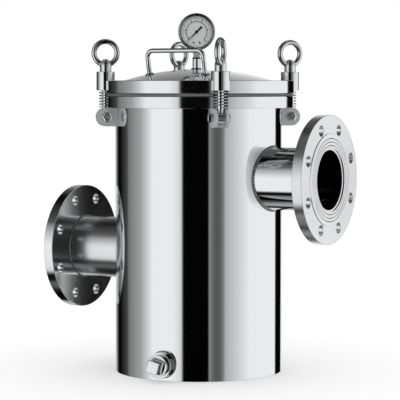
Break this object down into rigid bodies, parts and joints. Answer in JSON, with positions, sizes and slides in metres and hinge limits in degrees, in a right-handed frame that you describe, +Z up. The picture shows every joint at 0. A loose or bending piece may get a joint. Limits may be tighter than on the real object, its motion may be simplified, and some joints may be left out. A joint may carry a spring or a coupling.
{
  "type": "pool hair strainer",
  "caption": "Upright stainless basket strainer with flanged side nozzles, swing-bolted lid, bent rod handle, dial pressure gauge and drain plug.",
  "frame": {"origin": "middle of the vessel's underside, on the ground", "axes": "+Z up along the vessel's axis, +X along the inlet nozzle, dial and drain toward -Y"},
  "size_m": [0.512, 0.3574, 0.6247],
  "materials": {
    "polished_steel": "mirror polished stainless steel",
    "turned_steel": "turned stainless steel",
    "weld_steel": "brushed weld bead",
    "spring_steel": "drawn spring wire",
    "basket_steel": "slotted stainless sheet",
    "gasket_rubber": "black rubber",
    "washer_rubber": "black rubber",
    "dial_white": "white enamel with black scale",
    "pointer_black": "black enamel",
    "window": "clear glass",
    "movement_brass": "plain brass"
  },
  "bodies": {
    "vessel": {"shell": "polished_steel", "bottom_plate": "turned_steel", "vessel_flange": "turned_steel", "lid_gasket": "gasket_rubber", "inlet_pipe": "polished_steel", "inlet_flange": "turned_steel", "outlet_pipe": "polished_steel", "outlet_flange": "turned_steel", "nozzle_welds": "weld_steel", "flange_welds": "weld_steel", "seat_ring": "turned_steel", "drain_socket": "turned_steel", "drain_weld": "weld_steel", "hinge_pins": "turned_steel", "pin_washers": "turned_steel", "bolt_bracket_1": "polished_steel", "bolt_bracket_2": "polished_steel", "bolt_bracket_3": "polished_steel", "bolt_bracket_4": "polished_steel"},
    "lid": {"lid_rim": "turned_steel", "lid_dome": "polished_steel", "lid_handle": "polished_steel", "handle_welds": "weld_steel", "gauge_socket": "polished_steel", "gauge_seal": "washer_rubber", "gauge_stem": "polished_steel", "gauge_case": "polished_steel", "gauge_bezel": "polished_steel", "gauge_glass": "window", "gauge_dial": "dial_white", "dial_screws": "polished_steel", "bourdon_tube": "movement_brass", "movement_plate": "movement_brass"},
    "pointer": {"gauge_pointer": "pointer_black", "pinion_shaft": "movement_brass"},
    "sector": {"gear_sector": "movement_brass"},
    "basket": {"basket_rim": "basket_steel", "basket_wall": "basket_steel", "basket_floor": "basket_steel", "bail_lugs": "basket_steel"},
    "bail": {"basket_bail": "basket_steel"},
    "plug_washer": {"drain_washer": "washer_rubber"},
    "plug": {"drain_plug": "turned_steel"},
    "bolt_1": {"swing_bolt_1": "turned_steel", "spring_1": "spring_steel"},
    "clamp_1": {"clamp_sleeve_1": "polished_steel"},
    "nut_1": {"eye_nut_1": "polished_steel"},
    "bolt_2": {"swing_bolt_2": "turned_steel", "spring_2": "spring_steel"},
    "clamp_2": {"clamp_sleeve_2": "polished_steel"},
    "nut_2": {"eye_nut_2": "polished_steel"},
    "bolt_3": {"swing_bolt_3": "turned_steel", "spring_3": "spring_steel"},
    "clamp_3": {"clamp_sleeve_3": "polished_steel"},
    "nut_3": {"eye_nut_3": "polished_steel"},
    "bolt_4": {"swing_bolt_4": "turned_steel", "spring_4": "spring_steel"},
    "clamp_4": {"clamp_sleeve_4": "polished_steel"},
    "nut_4": {"eye_nut_4": "polished_steel"}
  },
  "joints": [
    {"name": "lid_lift", "type": "slide", "parent": "vessel", "child": "lid", "axis": [0, 0, 1], "range_m": [0, 0.5]},
    {"name": "basket_lift", "type": "slide", "parent": "vessel", "child": "basket", "axis": [0, 0, 1], "range_m": [0, 0.45]},
    {"name": "bail_swing", "type": "hinge", "parent": "basket", "child": "bail", "pos_m": [0, 0, 0.2853], "axis": [-1, 0, 0], "range_deg": [0, 180]},
    {"name": "pointer_turn", "type": "hinge", "parent": "lid", "child": "pointer", "pos_m": [0, -0.008, 0.5925], "axis": [-0.5, 0.866, 0], "range_deg": [0, 270]},
    {"name": "sector_turn", "type": "hinge", "parent": "lid", "child": "sector", "pos_m": [0.01481, 0.00055, 0.5925], "axis": [-0.5, 0.866, 0], "range_deg": [-45, 0]},
    {"name": "bolt_1_swing", "type": "hinge", "parent": "vessel", "child": "bolt_1", "pos_m": [0.12262, 0.11041, 0.445], "axis": [-0.6691, 0.7431, 0], "range_deg": [0, 165]},
    {"name": "clamp_1_swing", "type": "hinge", "parent": "lid", "child": "clamp_1", "pos_m": [0.12262, 0.11041, 0.445], "axis": [-0.6691, 0.7431, 0], "range_deg": [0, 165]},
    {"name": "nut_1_turn", "type": "hinge", "parent": "clamp_1", "child": "nut_1", "pos_m": [0.12262, 0.11041, 0.5233], "axis": [0, 0, 1], "continuous": true},
    {"name": "bolt_2_swing", "type": "hinge", "parent": "vessel", "child": "bolt_2", "pos_m": [-0.11041, 0.12262, 0.445], "axis": [-0.7431, -0.6691, 0], "range_deg": [0, 165]},
    {"name": "clamp_2_swing", "type": "hinge", "parent": "lid", "child": "clamp_2", "pos_m": [-0.11041, 0.12262, 0.445], "axis": [-0.7431, -0.6691, 0], "range_deg": [0, 165]},
    {"name": "nut_2_turn", "type": "hinge", "parent": "clamp_2", "child": "nut_2", "pos_m": [-0.11041, 0.12262, 0.5233], "axis": [0, 0, 1], "continuous": true},
    {"name": "bolt_3_swing", "type": "hinge", "parent": "vessel", "child": "bolt_3", "pos_m": [-0.12262, -0.11041, 0.445], "axis": [0.6691, -0.7431, 0], "range_deg": [0, 165]},
    {"name": "clamp_3_swing", "type": "hinge", "parent": "lid", "child": "clamp_3", "pos_m": [-0.12262, -0.11041, 0.445], "axis": [0.6691, -0.7431, 0], "range_deg": [0, 165]},
    {"name": "nut_3_turn", "type": "hinge", "parent": "clamp_3", "child": "nut_3", "pos_m": [-0.12262, -0.11041, 0.5233], "axis": [0, 0, 1], "continuous": true},
    {"name": "bolt_4_swing", "type": "hinge", "parent": "vessel", "child": "bolt_4", "pos_m": [0.11041, -0.12262, 0.445], "axis": [0.7431, 0.6691, 0], "range_deg": [0, 165]},
    {"name": "clamp_4_swing", "type": "hinge", "parent": "lid", "child": "clamp_4", "pos_m": [0.11041, -0.12262, 0.445], "axis": [0.7431, 0.6691, 0], "range_deg": [0, 165]},
    {"name": "nut_4_turn", "type": "hinge", "parent": "clamp_4", "child": "nut_4", "pos_m": [0.11041, -0.12262, 0.5233], "axis": [0, 0, 1], "continuous": true},
    {"name": "washer_slide", "type": "slide", "parent": "vessel", "child": "plug_washer", "axis": [0.0872, -0.9962, 0], "range_m": [0, 0.01616]},
    {"name": "plug_turn", "type": "hinge", "parent": "plug_washer", "child": "plug", "pos_m": [0.01438, -0.16437, 0.028], "axis": [0.0872, -0.9962, 0], "range_deg": [0, 2520]}
  ],
  "couplings": [
    {"joint": "basket_lift", "follows": "lid_lift", "ratio": 0.9},
    {"joint": "pointer_turn", "follows": "sector_turn", "ratio": -6},
    {"joint": "clamp_1_swing", "follows": "bolt_1_swing", "ratio": 1},
    {"joint": "clamp_2_swing", "follows": "bolt_2_swing", "ratio": 1},
    {"joint": "clamp_3_swing", "follows": "bolt_3_swing", "ratio": 1},
    {"joint": "clamp_4_swing", "follows": "bolt_4_swing", "ratio": 1},
    {"joint": "plug_turn", "follows": "washer_slide", "rad_per_m": 2721.2}
  ]
}
